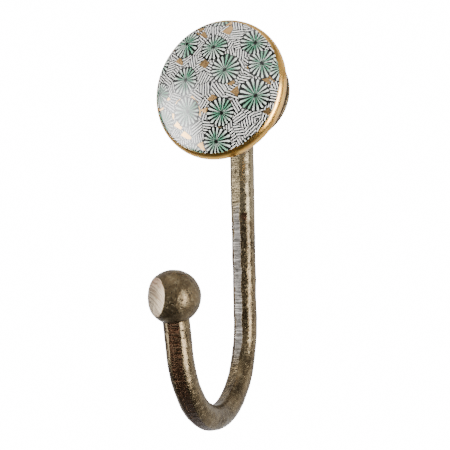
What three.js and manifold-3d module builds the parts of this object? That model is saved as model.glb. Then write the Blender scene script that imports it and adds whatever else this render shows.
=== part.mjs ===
// Wall hook: a J-shaped metal bar with a ball at its tip, on a round wall plate, with a
// domed ceramic disc that screws on to a stud and hides the wall screws.
// Millimetres. The wall is the plane Y = 0 and the hook stands out towards -Y. +Z is up and
// the origin is on the wall, on the axis of the stud. "Out" is a distance from the wall.
import * as THREE from "three";
import { mergeVertices } from "three/addons/utils/BufferGeometryUtils.js";
import Module from "manifold-3d";

// ---- Driving dimensions ----
const SEAT_GAP = 0.1; // between flat faces that rest on each other
const CUT_GAP = 0.3; // round a piece that a neighbour is cut to fit
const THREAD_CLEARANCE = 0.25; // radial, between the stud and what turns or slides on it

const PLATE_RADIUS = 18;
const PLATE_THICKNESS = 1.6;
const PLATE_RISE = 5.8; // the plate's centre above the stud's axis
const PLATE_EDGE_BREAK = 0.4;
const WALL_SCREW_HOLE_RADIUS = 2.1;
const WALL_SCREW_HEAD_RADIUS = 3.6;
const SIDE_SCREW_OFFSET = 11.8; // the two lower wall screws, left and right of the bar
const TOP_SCREW_OFFSET = 12.4; // the upper wall screw, above the plate's centre

const BAR_RADIUS = 4.55; // at the top of the shank
const BAR_TIP_RADIUS = 3.95; // the bar is drawn down towards its tip
const INNER_FLAT_DEPTH = 0.3; // ground off the inside of the J
const INNER_FLAT_TURN = THREE.MathUtils.degToRad(13);
const BACK_FLAT_DEPTH = 0.45; // ground off the outside of the J
const BAR_TOP = 8.5; // the bar's top end above the stud's axis
const SHANK_DROP = 81.8; // from the stud's axis down to the bend
// The bend is part of an ellipse, measured on the bar's centre line.
const BEND_REACH = 25.3; // half its width, away from the wall
const BEND_DEPTH = 29.1; // half its height
const BEND_END = THREE.MathUtils.degToRad(166);
const STEM_LENGTH = 9.5; // straight, from the bend to the ball

const BALL_RADIUS = 7.95;
const BALL_SINK = 0.6; // how far the ball sits down over the bar's end
const BALL_FACET_DEPTH = 1.9; // ground off the ball's front
const BALL_FACET_TURN = THREE.MathUtils.degToRad(33);
const SPIGOT_RADIUS = 2.4;
const SPIGOT_LENGTH = 6;

const STUD_RADIUS = 2.5; // M5
const STUD_HEAD_RADIUS = 3.6; // peened over in the back of the plate
const STUD_HEAD_DEPTH = 1.1;
const STUD_ENGAGEMENT = 8; // length of thread inside the insert
const NUT_FLATS = 8;
const NUT_HEIGHT = 4;
const LOCK_WASHER_OUTER = 4.4;
const LOCK_WASHER_THICKNESS = 1.2;
const LOCK_WASHER_SPLIT = 0.8;
const SEAT_DEPTH = 0.9; // of the flat seat filed on the bar's front for the nut
const SEAT_MARGIN = 3; // of the seat above and below the collar

const COLLAR_WALL = 2.2;
const COLLAR_NUT_CLEARANCE = 0.7;
const COLLAR_WEB = 2.4; // solid thickness in front of the nut
const COLLAR_BAR_CLEARANCE = 0.4;
const COLLAR_WAIST = 1.3; // depth of the turned hollow round the collar
const CUSHION_THICKNESS = 1.2;
const CUSHION_RADIUS = 8;

const INSERT_RADIUS = 4.6;
const INSERT_FLANGE_RADIUS = 7.4;
const INSERT_FLANGE_THICKNESS = 1.4;
const INSERT_END_WALL = 1.2;
const CEMENT_THICKNESS = 1.1;

const DISC_RADIUS = 25;
const FOOT_RADIUS = 10.5;
const FOOT_HEIGHT = 2.1;
const BACK_RISE = 0.8; // the disc's back slopes forward by this much from foot to rim
const RIM_BACK_RADIUS = 2.4;
const RIM_FRONT_RADIUS = 4;
const CROWN = 7.4; // from the disc's widest circle to the top of its dome

// ---- Places worked out from the dimensions ----
const barAxisOut = PLATE_THICKNESS + SEAT_GAP + BAR_RADIUS - BACK_FLAT_DEPTH;
const barFrontOut = barAxisOut + BAR_RADIUS;
const seatOut = barFrontOut - SEAT_DEPTH;
const lockWasherOut = seatOut + SEAT_GAP;
const nutOut = lockWasherOut + LOCK_WASHER_THICKNESS + SEAT_GAP;
const nutFrontOut = nutOut + NUT_HEIGHT;
const collarBackOut = barFrontOut + COLLAR_BAR_CLEARANCE;
const collarShoulderOut = nutFrontOut + SEAT_GAP;
const collarFrontOut = collarShoulderOut + COLLAR_WEB;
const cushionOut = collarFrontOut + SEAT_GAP;
const cushionFrontOut = cushionOut + CUSHION_THICKNESS;
const insertOut = cushionFrontOut + SEAT_GAP;
const insertFlangeFrontOut = insertOut + INSERT_FLANGE_THICKNESS;
const footOut = insertFlangeFrontOut + SEAT_GAP;
const studTipOut = insertOut + STUD_ENGAGEMENT;
const insertBoreEndOut = studTipOut + 2 * SEAT_GAP;
const insertTipOut = insertBoreEndOut + INSERT_END_WALL;
const discBoreRadius = INSERT_RADIUS + CEMENT_THICKNESS;
const discBoreEndOut = insertTipOut + CEMENT_THICKNESS;
const discBackOut = footOut + FOOT_HEIGHT;
const rimBackOut = discBackOut + BACK_RISE;
const discWidestOut = rimBackOut + RIM_BACK_RADIUS;
const nutCorner = NUT_FLATS / Math.sqrt(3);
const collarBoreRadius = nutCorner + COLLAR_NUT_CLEARANCE;
const collarRadius = collarBoreRadius + COLLAR_WALL;
const runningRadius = STUD_RADIUS + THREAD_CLEARANCE;

// ---- Finishes ----
const antiqueMetal = { color: 0x6f6650, roughness: 0.42, metalness: 0.9 };
const plateMetal = { color: 0x5d5850, roughness: 0.5, metalness: 0.9 };
const zincSteel = { color: 0xa8aaa6, roughness: 0.35, metalness: 1 };
const turnedBrass = { color: 0xb08d4c, roughness: 0.3, metalness: 1 };
const blackRubber = { color: 0x1d1c1b, roughness: 0.85, metalness: 0 };
const paleCement = { color: 0xb9b2a3, roughness: 0.95, metalness: 0 };
const glazedCeramic = { color: 0xcfd8cc, roughness: 0.12, metalness: 0 };

const wasm = await Module();
wasm.setup();

// ---- Solids ----
const point = (radius, out) => new THREE.Vector2(radius, out);

// Turns a profile of (radius, out) points about the stud's axis.
function turned(profile, sides = 40) {
  return new THREE.LatheGeometry(profile, sides).rotateX(Math.PI);
}

// A turned ring or tube between two radii.
function ring(innerRadius, outerRadius, backOut, frontOut, sides = 40) {
  const profile = [
    point(innerRadius, backOut),
    point(outerRadius, backOut),
    point(outerRadius, frontOut),
    point(innerRadius, frontOut),
    point(innerRadius, backOut),
  ];
  return turned(profile, sides);
}

// Points on an arc of a profile, from one angle to another, in radians.
function arcPoints(radius, out, arcRadius, from, to, steps) {
  const points = [];
  for (let i = 0; i <= steps; i += 1) {
    const angle = from + ((to - from) * i) / steps;
    points.push(
      point(radius + arcRadius * Math.cos(angle), out + arcRadius * Math.sin(angle)),
    );
  }
  return points;
}

function toSolid(geometry) {
  const bare = geometry.clone();
  bare.deleteAttribute("normal");
  bare.deleteAttribute("uv");
  const merged = mergeVertices(bare, 1e-4);
  return new wasm.Manifold(
    new wasm.Mesh({
      numProp: 3,
      vertProperties: merged.attributes.position.array,
      triVerts: new Uint32Array(merged.index.array),
    }),
  );
}

function toGeometry(solid) {
  const mesh = solid.getMesh();
  const geometry = new THREE.BufferGeometry();
  geometry.setAttribute("position", new THREE.BufferAttribute(mesh.vertProperties, 3));
  geometry.setIndex(new THREE.BufferAttribute(mesh.triVerts, 1));
  return geometry;
}

function cut(geometry, ...tools) {
  const solid = tools.reduce((rest, tool) => rest.subtract(toSolid(tool)), toSolid(geometry));
  return toGeometry(solid);
}

function join(geometry, ...others) {
  const solid = others.reduce((rest, other) => rest.add(toSolid(other)), toSolid(geometry));
  return toGeometry(solid);
}

function part(name, geometry, finish) {
  const flat = geometry.index ? geometry.toNonIndexed() : geometry;
  flat.computeVertexNormals();
  const mesh = new THREE.Mesh(flat, new THREE.MeshStandardMaterial(finish));
  mesh.name = name;
  return mesh;
}

// ---- Wall plate ----
// A countersunk hole, with its cone opening towards the room.
function wallScrewHole(x, z) {
  const sinkDepth = WALL_SCREW_HEAD_RADIUS - WALL_SCREW_HOLE_RADIUS;
  const past = 1;
  const profile = [
    point(0, -past),
    point(WALL_SCREW_HOLE_RADIUS, -past),
    point(WALL_SCREW_HOLE_RADIUS, PLATE_THICKNESS - sinkDepth),
    point(WALL_SCREW_HEAD_RADIUS + past, PLATE_THICKNESS + past),
    point(0, PLATE_THICKNESS + past),
  ];
  return turned(profile, 24).translate(x, 0, z);
}

// The hole that the stud's peened head fills, coned towards the wall.
function studHole() {
  const past = 1;
  const taper = (STUD_HEAD_RADIUS - STUD_RADIUS) / STUD_HEAD_DEPTH;
  const profile = [
    point(0, -past),
    point(STUD_HEAD_RADIUS + CUT_GAP + taper * past, -past),
    point(STUD_RADIUS + CUT_GAP, STUD_HEAD_DEPTH),
    point(STUD_RADIUS + CUT_GAP, PLATE_THICKNESS + past),
    point(0, PLATE_THICKNESS + past),
  ];
  return turned(profile, 24);
}

function backPlate() {
  const blank = turned(
    [
      point(0, 0),
      point(PLATE_RADIUS, 0),
      point(PLATE_RADIUS, PLATE_THICKNESS - PLATE_EDGE_BREAK),
      point(PLATE_RADIUS - PLATE_EDGE_BREAK, PLATE_THICKNESS),
      point(0, PLATE_THICKNESS),
    ],
    64,
  ).translate(0, 0, PLATE_RISE);
  return cut(
    blank,
    studHole(),
    wallScrewHole(-SIDE_SCREW_OFFSET, PLATE_RISE),
    wallScrewHole(SIDE_SCREW_OFFSET, PLATE_RISE),
    wallScrewHole(0, PLATE_RISE + TOP_SCREW_OFFSET),
  );
}

// ---- Hook bar ----
const shankLength = BAR_TOP + SHANK_DROP;
const bendLength = (BEND_END * (BEND_REACH + BEND_DEPTH)) / 2; // near enough to share out steps
const barLength = shankLength + bendLength + STEM_LENGTH;

// The bar's direction at the stem, as a unit vector.
const stemDirection = new THREE.Vector3(
  0,
  -BEND_REACH * Math.sin(BEND_END),
  -BEND_DEPTH * Math.cos(BEND_END),
).normalize();

// The bar's centre line in the plane X = 0: down the shank, round the bend, up the stem,
// and past the stem's end by an overrun.
class HookLine extends THREE.Curve {
  constructor(overrun = 0) {
    super();
    this.length = barLength + overrun;
  }

  getPoint(share, target = new THREE.Vector3()) {
    const along = share * this.length;
    if (along <= shankLength) {
      return target.set(0, -barAxisOut, BAR_TOP - along);
    }
    const turn = Math.min((along - shankLength) / bendLength, 1) * BEND_END;
    const past = Math.max(along - shankLength - bendLength, 0);
    return target
      .set(
        0,
        -barAxisOut - BEND_REACH * (1 - Math.cos(turn)),
        -SHANK_DROP - BEND_DEPTH * Math.sin(turn),
      )
      .addScaledVector(stemDirection, past);
  }
}

const barEnd = new HookLine().getPoint(1);

// Below the plate the bar narrows evenly, so its top keeps its flat back on the plate.
function narrowed(geometry, line) {
  const stations = line.getSpacedPoints(200);
  const first = stations.findIndex((centre) => centre.z < PLATE_RISE - PLATE_RADIUS);
  const vertices = geometry.attributes.position;
  const position = new THREE.Vector3();
  for (let i = 0; i < vertices.count; i += 1) {
    position.fromBufferAttribute(vertices, i);
    const distances = stations.map((centre) => centre.distanceToSquared(position));
    const nearest = distances.indexOf(Math.min(...distances));
    const share = Math.max(nearest - first, 0) / (stations.length - 1 - first);
    const scale = THREE.MathUtils.lerp(1, BAR_TIP_RADIUS / BAR_RADIUS, share);
    position.sub(stations[nearest]).multiplyScalar(scale).add(stations[nearest]);
    vertices.setXYZ(i, position.x, position.y, position.z);
  }
  return geometry;
}

// A round with a flat ground on the inside of the J and another on the outside.
function barSection() {
  const innerHalf = Math.acos(1 - INNER_FLAT_DEPTH / BAR_RADIUS);
  const backHalf = Math.acos(1 - BACK_FLAT_DEPTH / BAR_RADIUS);
  const shape = new THREE.Shape();
  shape.absarc(0, 0, BAR_RADIUS, INNER_FLAT_TURN + innerHalf, Math.PI - backHalf, false);
  shape.absarc(
    0,
    0,
    BAR_RADIUS,
    Math.PI + backHalf,
    2 * Math.PI + INNER_FLAT_TURN - innerHalf,
    false,
  );
  return shape;
}

const ballCentre = barEnd.clone().addScaledVector(stemDirection, BALL_RADIUS - BALL_SINK);

function ball(radius) {
  return new THREE.SphereGeometry(radius, 28, 16).translate(
    ballCentre.x,
    ballCentre.y,
    ballCentre.z,
  );
}

// A round pin along the stem, starting where the bar ends.
function stemPin(radius, length, overlap) {
  const pin = new THREE.CylinderGeometry(radius, radius, length + overlap, 20);
  pin.translate(0, (length - overlap) / 2, 0);
  const turn = new THREE.Quaternion().setFromUnitVectors(
    new THREE.Vector3(0, 1, 0),
    stemDirection,
  );
  return pin.applyQuaternion(turn).translate(barEnd.x, barEnd.y, barEnd.z);
}

function hookBar() {
  const line = new HookLine(BALL_SINK); // the bar's end is dished to take the ball
  const swept = new THREE.ExtrudeGeometry(barSection(), {
    steps: 46,
    curveSegments: 8,
    bevelEnabled: false,
    extrudePath: line,
  });
  const seatHeight = 2 * (collarRadius + SEAT_MARGIN);
  const nutSeat = new THREE.BoxGeometry(4 * BAR_RADIUS, 2 * SEAT_DEPTH, seatHeight).translate(
    0,
    -(seatOut + SEAT_DEPTH),
    0,
  );
  const studBore = ring(0, runningRadius, 0, barFrontOut + 1, 24);
  const dished = cut(narrowed(swept, line), ball(BALL_RADIUS + CUT_GAP), nutSeat, studBore);
  return join(dished, stemPin(SPIGOT_RADIUS, SPIGOT_LENGTH, 3));
}

// ---- Ball ----
function ballEnd() {
  const facing = new THREE.Vector3(-Math.sin(BALL_FACET_TURN), -Math.cos(BALL_FACET_TURN), 0);
  const side = 3 * BALL_RADIUS;
  const grinder = new THREE.BoxGeometry(side, side, side);
  const turn = new THREE.Quaternion().setFromUnitVectors(new THREE.Vector3(0, -1, 0), facing);
  const place = ballCentre
    .clone()
    .addScaledVector(facing, BALL_RADIUS - BALL_FACET_DEPTH + side / 2);
  grinder.applyQuaternion(turn).translate(place.x, place.y, place.z);
  return cut(
    ball(BALL_RADIUS),
    grinder,
    stemPin(SPIGOT_RADIUS + CUT_GAP, SPIGOT_LENGTH + CUT_GAP, 3),
  );
}

// ---- Stud, nut and lock washer ----
function threadedStud() {
  return turned(
    [
      point(0, 0),
      point(STUD_HEAD_RADIUS, 0),
      point(STUD_RADIUS, STUD_HEAD_DEPTH),
      point(STUD_RADIUS, studTipOut - STUD_RADIUS / 5),
      point(STUD_RADIUS * 0.8, studTipOut),
      point(0, studTipOut),
    ],
    24,
  );
}

function lockNut() {
  const blank = new THREE.CylinderGeometry(nutCorner, nutCorner, NUT_HEIGHT, 6)
    .rotateY(Math.PI / 6)
    .translate(0, -(nutOut + NUT_HEIGHT / 2), 0);
  return cut(blank, ring(0, runningRadius, nutOut - 1, nutFrontOut + 1, 24));
}

function lockWasher() {
  const frontOut = lockWasherOut + LOCK_WASHER_THICKNESS;
  const split = new THREE.BoxGeometry(
    LOCK_WASHER_SPLIT,
    3 * LOCK_WASHER_THICKNESS,
    LOCK_WASHER_OUTER,
  ).translate(0, -(lockWasherOut + frontOut) / 2, LOCK_WASHER_OUTER);
  const whole = ring(runningRadius, LOCK_WASHER_OUTER, lockWasherOut, frontOut, 32);
  return cut(whole, split);
}

// ---- Collar and cushion ----
// The collar stands round the nut and rests on it; it has a turned hollow round its middle.
function neckCollar() {
  const middleOut = (collarBackOut + collarFrontOut) / 2;
  const halfHollow = (collarFrontOut - collarBackOut) / 3;
  const coveRadius = (halfHollow ** 2 + COLLAR_WAIST ** 2) / (2 * COLLAR_WAIST);
  const coveCentre = collarRadius - COLLAR_WAIST + coveRadius;
  const coveAngle = Math.asin(halfHollow / coveRadius);
  const cove = arcPoints(
    coveCentre,
    middleOut,
    coveRadius,
    Math.PI + coveAngle,
    Math.PI - coveAngle,
    6,
  );
  const profile = [
    point(collarBoreRadius, collarBackOut),
    point(collarRadius, collarBackOut),
    ...cove,
    point(collarRadius, collarFrontOut),
    point(runningRadius, collarFrontOut),
    point(runningRadius, collarShoulderOut),
    point(collarBoreRadius, collarShoulderOut),
    point(collarBoreRadius, collarBackOut),
  ];
  return turned(profile);
}

function cushionWasher() {
  return ring(runningRadius, CUSHION_RADIUS, cushionOut, cushionFrontOut);
}

// ---- Ceramic disc with its insert ----
function threadedInsert() {
  return turned([
    point(0, insertBoreEndOut),
    point(runningRadius, insertBoreEndOut),
    point(runningRadius, insertOut),
    point(INSERT_FLANGE_RADIUS, insertOut),
    point(INSERT_FLANGE_RADIUS, insertFlangeFrontOut),
    point(INSERT_RADIUS, insertFlangeFrontOut),
    point(INSERT_RADIUS, insertTipOut),
    point(0, insertTipOut),
  ]);
}

function cementBed() {
  return ring(
    INSERT_RADIUS + SEAT_GAP,
    discBoreRadius - SEAT_GAP,
    footOut,
    insertTipOut,
  );
}

// The dome and the rounded rim are arcs that meet smoothly.
function discFront() {
  const rimCentre = DISC_RADIUS - RIM_FRONT_RADIUS;
  const domeRadius =
    (rimCentre ** 2 + CROWN ** 2 - RIM_FRONT_RADIUS ** 2) / (2 * (CROWN - RIM_FRONT_RADIUS));
  const domeCentreOut = discWidestOut + CROWN - domeRadius;
  const meet = Math.atan2(discWidestOut - domeCentreOut, rimCentre);
  const rim = arcPoints(rimCentre, discWidestOut, RIM_FRONT_RADIUS, 0, meet, 7);
  const dome = arcPoints(0, domeCentreOut, domeRadius, meet, Math.PI / 2, 8).slice(1, -1);
  return [...rim, ...dome, point(0, discWidestOut + CROWN)];
}

function ceramicDisc() {
  const rimBackCentre = DISC_RADIUS - RIM_BACK_RADIUS;
  return turned(
    [
      point(0, discBoreEndOut),
      point(discBoreRadius, discBoreEndOut),
      point(discBoreRadius, footOut),
      point(FOOT_RADIUS, footOut),
      point(FOOT_RADIUS + FOOT_HEIGHT / 3, discBackOut),
      ...arcPoints(rimBackCentre, discWidestOut, RIM_BACK_RADIUS, -Math.PI / 2, 0, 4).slice(0, -1),
      ...discFront(),
    ],
    64,
  );
}

// ---- The whole hook ----
const wallHook = new THREE.Group();
wallHook.add(part("back_plate", backPlate(), plateMetal));
wallHook.add(part("hook_bar", hookBar(), antiqueMetal));
wallHook.add(part("ball_end", ballEnd(), antiqueMetal));
wallHook.add(part("threaded_stud", threadedStud(), zincSteel));
wallHook.add(part("lock_washer", lockWasher(), zincSteel));
wallHook.add(part("lock_nut", lockNut(), zincSteel));
wallHook.add(part("neck_collar", neckCollar(), antiqueMetal));
wallHook.add(part("cushion_washer", cushionWasher(), blackRubber));

const disc = new THREE.Group();
disc.add(part("ceramic_disc", ceramicDisc(), glazedCeramic));
disc.add(part("threaded_insert", threadedInsert(), turnedBrass));
disc.add(part("cement_bed", cementBed(), paleCement));
wallHook.add(disc);

export default wallHook;
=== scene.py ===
import math

import bpy
from mathutils import Matrix, Vector, kdtree, noise


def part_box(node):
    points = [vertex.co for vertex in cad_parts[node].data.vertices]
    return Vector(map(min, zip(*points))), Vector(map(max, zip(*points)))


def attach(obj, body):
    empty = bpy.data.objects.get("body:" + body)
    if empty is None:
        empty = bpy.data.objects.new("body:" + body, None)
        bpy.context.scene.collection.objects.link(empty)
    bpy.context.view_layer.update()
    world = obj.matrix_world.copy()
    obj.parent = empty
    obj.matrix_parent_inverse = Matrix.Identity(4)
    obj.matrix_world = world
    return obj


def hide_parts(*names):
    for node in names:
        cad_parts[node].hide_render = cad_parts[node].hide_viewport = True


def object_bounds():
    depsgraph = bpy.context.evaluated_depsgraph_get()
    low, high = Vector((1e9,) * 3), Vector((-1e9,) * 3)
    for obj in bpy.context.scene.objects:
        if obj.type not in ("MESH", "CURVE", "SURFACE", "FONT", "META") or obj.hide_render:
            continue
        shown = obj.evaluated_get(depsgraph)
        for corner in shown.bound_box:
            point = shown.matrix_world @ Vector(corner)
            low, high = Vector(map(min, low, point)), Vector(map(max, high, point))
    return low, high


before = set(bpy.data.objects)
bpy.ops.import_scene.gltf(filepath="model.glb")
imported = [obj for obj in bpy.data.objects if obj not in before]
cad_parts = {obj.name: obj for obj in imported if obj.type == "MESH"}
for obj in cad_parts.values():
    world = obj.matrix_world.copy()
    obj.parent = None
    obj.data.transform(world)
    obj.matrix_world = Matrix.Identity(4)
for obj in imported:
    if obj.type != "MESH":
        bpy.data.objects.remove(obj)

# A wall hook: a forged J-shaped bar with a ball at its tip, on a round plate, and a domed
# glazed disc that screws on to a stud. Metres; the wall is Y = 0, +Z is up, and "out" is a
# distance from the wall towards -Y.

cad_low, cad_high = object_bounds()

# ---- Sizes ----
MM = 0.001
SEAT_GAP = 0.1 * MM


def outs(node):
    """How far out a node's back and front are."""
    low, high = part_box(node)
    return -high.y, -low.y


def radius_of(node):
    low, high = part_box(node)
    return (high.x - low.x) / 2


PLATE_RADIUS = radius_of("back_plate")
PLATE_THICKNESS = outs("back_plate")[1]
PLATE_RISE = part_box("back_plate")[1].z - PLATE_RADIUS
SCREW_HOLE_RADIUS = 2.1 * MM
SCREW_HEAD_RADIUS = 3.6 * MM
SIDE_SCREW_OFFSET = 11.8 * MM
TOP_SCREW_OFFSET = 12.4 * MM

BAR_RADIUS = radius_of("hook_bar")
BAR_TIP_RADIUS = 3.95 * MM
BACK_FLAT_DEPTH = 0.45 * MM
INNER_FLAT_DEPTH = 0.3 * MM
INNER_FLAT_TURN = math.radians(13)
OUTER_FLAT_TURN = math.radians(11)
BAR_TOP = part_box("hook_bar")[1].z
BAR_AXIS_OUT = PLATE_THICKNESS + SEAT_GAP + BAR_RADIUS - BACK_FLAT_DEPTH
SHANK_DROP = 81.8 * MM
BEND_REACH = 25.3 * MM
BEND_DEPTH = 29.1 * MM
BEND_END = math.radians(166)
STEM_LENGTH = 9.5 * MM
SEAT_DEPTH = 0.9 * MM
SEAT_OUT = BAR_AXIS_OUT + BAR_RADIUS - SEAT_DEPTH
SEAT_HALF_HEIGHT = 10.5 * MM

ball_low, ball_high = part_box("ball_end")
BALL_RADIUS = (ball_high.z - ball_low.z) / 2
BALL_CENTRE = Vector((0, ball_high.y - BALL_RADIUS, ball_high.z - BALL_RADIUS))
BALL_FACET_DEPTH = 1.9 * MM
BALL_FACET_CROWN = 0.75 * MM  # the ground face is a little domed
BALL_FACET_TURN = math.radians(33)

STUD_RADIUS = 2.5 * MM
STUD_HEAD_RADIUS = radius_of("threaded_stud")
STUD_HEAD_DEPTH = 1.1 * MM
STUD_TIP_OUT = outs("threaded_stud")[1]
THREAD_PITCH = 0.8 * MM
THREAD_DEPTH = 0.45 * MM
THREAD_START_OUT = PLATE_THICKNESS + 1.15 * THREAD_PITCH
NUT_PLAY = 0.06 * MM  # each side, as for the next two
WASHER_PLAY = 0.12 * MM
LOOSE_PLAY = 0.2 * MM

DISC_RADIUS = radius_of("ceramic_disc")
DISC_FOOT_OUT, DISC_TOP_OUT = outs("ceramic_disc")
RIM_BACK_RADIUS = 2.4 * MM
RIM_FRONT_RADIUS = 4 * MM
CROWN = 7.4 * MM
FOOT_RADIUS = 10.5 * MM
FOOT_HEIGHT = 2.1 * MM
DISC_WIDEST_OUT = DISC_TOP_OUT - CROWN
DISC_BORE_RADIUS = 5.7 * MM
DISC_BORE_DEPTH = 9 * MM
INSERT_RADIUS = 4.6 * MM
INSERT_BORE_RADIUS = 2.62 * MM

# ---- Camera and light ----
CAMERA_AZIMUTH = math.radians(24.3)
CAMERA_ELEVATION = math.radians(-6.85)
CAMERA_ROLL = math.radians(-0.96)
CAMERA_DISTANCE = 209.4 * MM
CAMERA_AIM = Vector((0, -20 * MM, -47.5 * MM))
CAMERA_SLIDE = 0.99 * MM  # how far the camera stands to the left of its aim
LENS = 47.57
ROOM_FRONT = 0.03
ROOM_BELOW = 0.055
ROOM_ABOVE = 0.5
ROOM_BEHIND = 1.0
ROOM_WHITE = 16.0
FLOOR_GLOW = 4.0
FLOOR_RADIUS = 1.5
FLOOR_DROP = 0.6  # from the lowest point of the hook
LAMP_AIM = Vector((0, -30 * MM, -45 * MM))


# ---- Ways of working ----
def let_go():
    """Leaves edit mode and deselects everything."""
    if bpy.context.object and bpy.context.object.mode != "OBJECT":
        bpy.ops.object.mode_set(mode="OBJECT")
    bpy.ops.object.select_all(action="DESELECT")


def hold(piece):
    """Makes one piece the only selected and active one."""
    let_go()
    piece.select_set(True)
    bpy.context.view_layer.objects.active = piece


def edit_all(piece):
    hold(piece)
    bpy.ops.object.mode_set(mode="EDIT")
    bpy.ops.mesh.select_all(action="SELECT")


def settle(piece, name):
    """Names the piece and puts its place into its mesh."""
    hold(piece)
    piece.name = name
    piece.data.name = name
    bpy.ops.object.transform_apply(location=True, rotation=True, scale=True)
    return piece


def work(piece, kind, **settings):
    """Adds a modifier and applies it."""
    hold(piece)
    modifier = piece.modifiers.new(kind.lower(), kind)
    for key, value in settings.items():
        setattr(modifier, key, value)
    bpy.ops.object.modifier_apply(modifier=modifier.name)
    return piece


def outward(piece):
    edit_all(piece)
    bpy.ops.mesh.normals_make_consistent(inside=False)
    let_go()


def smooth(piece, angle=35):
    hold(piece)
    bpy.ops.object.shade_smooth_by_angle(angle=math.radians(angle))
    return piece


def cut_away(piece, cutter, operation="DIFFERENCE"):
    """Cuts one piece with another, which is then thrown away."""
    work(piece, "BOOLEAN", operation=operation, object=cutter, solver="EXACT")
    bpy.data.objects.remove(cutter)
    return piece


def arc(centre_radius, centre_out, radius, start, end, steps):
    """Points of a profile along an arc; angles in degrees, 0 outwards and 90 to the front."""
    points = []
    for i in range(steps + 1):
        angle = math.radians(start + (end - start) * i / steps)
        points.append(
            (centre_radius + radius * math.cos(angle), centre_out + radius * math.sin(angle))
        )
    return points


def turn_on_lathe(name, profile, sides=128, ring=False, rise=0):
    """Draws a circle out through a profile of (radius, out). A ring's profile closes on itself."""
    let_go()
    radius, out = profile[0]
    bpy.ops.mesh.primitive_circle_add(
        vertices=sides,
        radius=radius,
        location=(0, -out, rise),
        rotation=(math.pi / 2, 0, 0),
        calc_uvs=False,
    )
    piece = settle(bpy.context.object, name)
    edit_all(piece)
    path = profile[1:] + (profile[:1] if ring else [])
    for next_radius, next_out in path:
        bpy.ops.mesh.extrude_region_move(
            TRANSFORM_OT_translate={"value": (0, out - next_out, 0)}
        )
        scale = next_radius / radius
        bpy.ops.transform.resize(value=(scale, 1, scale), center_override=(0, -next_out, rise))
        radius, out = next_radius, next_out
    bpy.ops.mesh.select_all(action="SELECT")
    if ring:
        bpy.ops.mesh.remove_doubles(threshold=1e-7)
    else:
        bpy.ops.mesh.select_non_manifold(extend=False, use_boundary=True)
        bpy.ops.mesh.edge_face_add()
    let_go()
    outward(piece)
    return piece


def ball_of_facets(name, radius, centre):
    """A fine round ball of triangles."""
    let_go()
    bpy.ops.mesh.primitive_ico_sphere_add(
        subdivisions=7, radius=radius, location=centre, calc_uvs=False
    )
    return settle(bpy.context.object, name)


def soften(piece, width, segments=2, angle=30):
    """Breaks the sharp edges."""
    return work(
        piece,
        "BEVEL",
        width=width,
        segments=segments,
        limit_method="ANGLE",
        angle_limit=math.radians(angle),
    )


def finish_piece(piece, node, body, slot, *materials):
    piece.data.materials.clear()
    for material in materials:
        piece.data.materials.append(material)
    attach(piece, body)
    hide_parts(node)
    return piece


# ---- Node helpers ----
class Recipe:
    """A material's nodes, and short ways to add and join them."""

    def __init__(self, name):
        self.material = bpy.data.materials.new(name)
        self.material.use_nodes = True
        self.tree = self.material.node_tree
        self.shader = self.tree.nodes["Principled BSDF"]

    def add(self, kind, sockets=None, **settings):
        made = self.tree.nodes.new("ShaderNode" + kind)
        for key, value in settings.items():
            setattr(made, key, value)
        for key, value in (sockets or {}).items():
            self.feed(made, key, value)
        return made

    def feed(self, made, key, value):
        if isinstance(value, bpy.types.NodeSocket):
            self.tree.links.new(value, made.inputs[key])
        else:
            made.inputs[key].default_value = value

    def math(self, operation, first, second=0.0, third=0.0):
        made = self.add("Math", operation=operation)
        for key, value in enumerate((first, second, third)):
            self.feed(made, key, value)
        return made.outputs[0]

    def vector(self, operation, first, second=(0, 0, 0)):
        made = self.add("VectorMath", {0: first, 1: second}, operation=operation)
        return made.outputs["Value" if operation == "LENGTH" else "Vector"]

    def blend(self, share, first, second, mode="MIX"):
        made = self.add("Mix", data_type="RGBA", blend_type=mode, clamp_factor=True)
        for key, value in ((0, share), (6, first), (7, second)):
            self.feed(made, key, value)
        return made.outputs[2]

    def step(self, value, low, high, bottom=0.0, top=1.0):
        """Goes smoothly from bottom to top as a value goes from low to high."""
        made = self.add("MapRange", interpolation_type="SMOOTHSTEP")
        for key, given in enumerate((value, low, high, bottom, top)):
            self.feed(made, key, given)
        return made.outputs[0]

    def place(self):
        return self.add("TexCoord").outputs["Object"]

    def uv(self):
        return self.add("UVMap").outputs["UV"]

    def attribute(self, name):
        return self.add("Attribute", attribute_name=name).outputs["Fac"]

    def cloud(self, where, size, detail=4.0, roughness=0.55):
        """Noise whose blotches are about a size across, in metres."""
        made = self.add(
            "TexNoise",
            {"Vector": where, "Scale": 1 / size, "Detail": detail, "Roughness": roughness},
        )
        return made.outputs["Fac"]

    def streaks(self, first, second, scale=1.0, detail=3.0, roughness=0.5):
        """Noise over two measures, for marks that run one way."""
        where = self.add("CombineXYZ", {"X": first, "Y": second}).outputs[0]
        sockets = {"Vector": where, "Scale": scale, "Detail": detail, "Roughness": roughness}
        return self.add("TexNoise", sockets).outputs["Fac"]

    def bump(self, height, depth, below=None):
        """A bump of a real depth in metres, on top of one below it."""
        sockets = {"Height": height, "Strength": 1.0, "Distance": depth}
        if below is not None:
            sockets["Normal"] = below
        return self.add("Bump", sockets).outputs["Normal"]

    def finish(self, colour=None, **constants):
        """Sets the shader's sockets by name, with spaces for underscores."""
        if colour is not None:
            self.feed(self.shader, "Base Color", colour)
        for key, value in constants.items():
            self.feed(self.shader, key.replace("_", " "), value)
        return self.material


def tint(red, green, blue):
    return (red, green, blue, 1.0)


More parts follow.
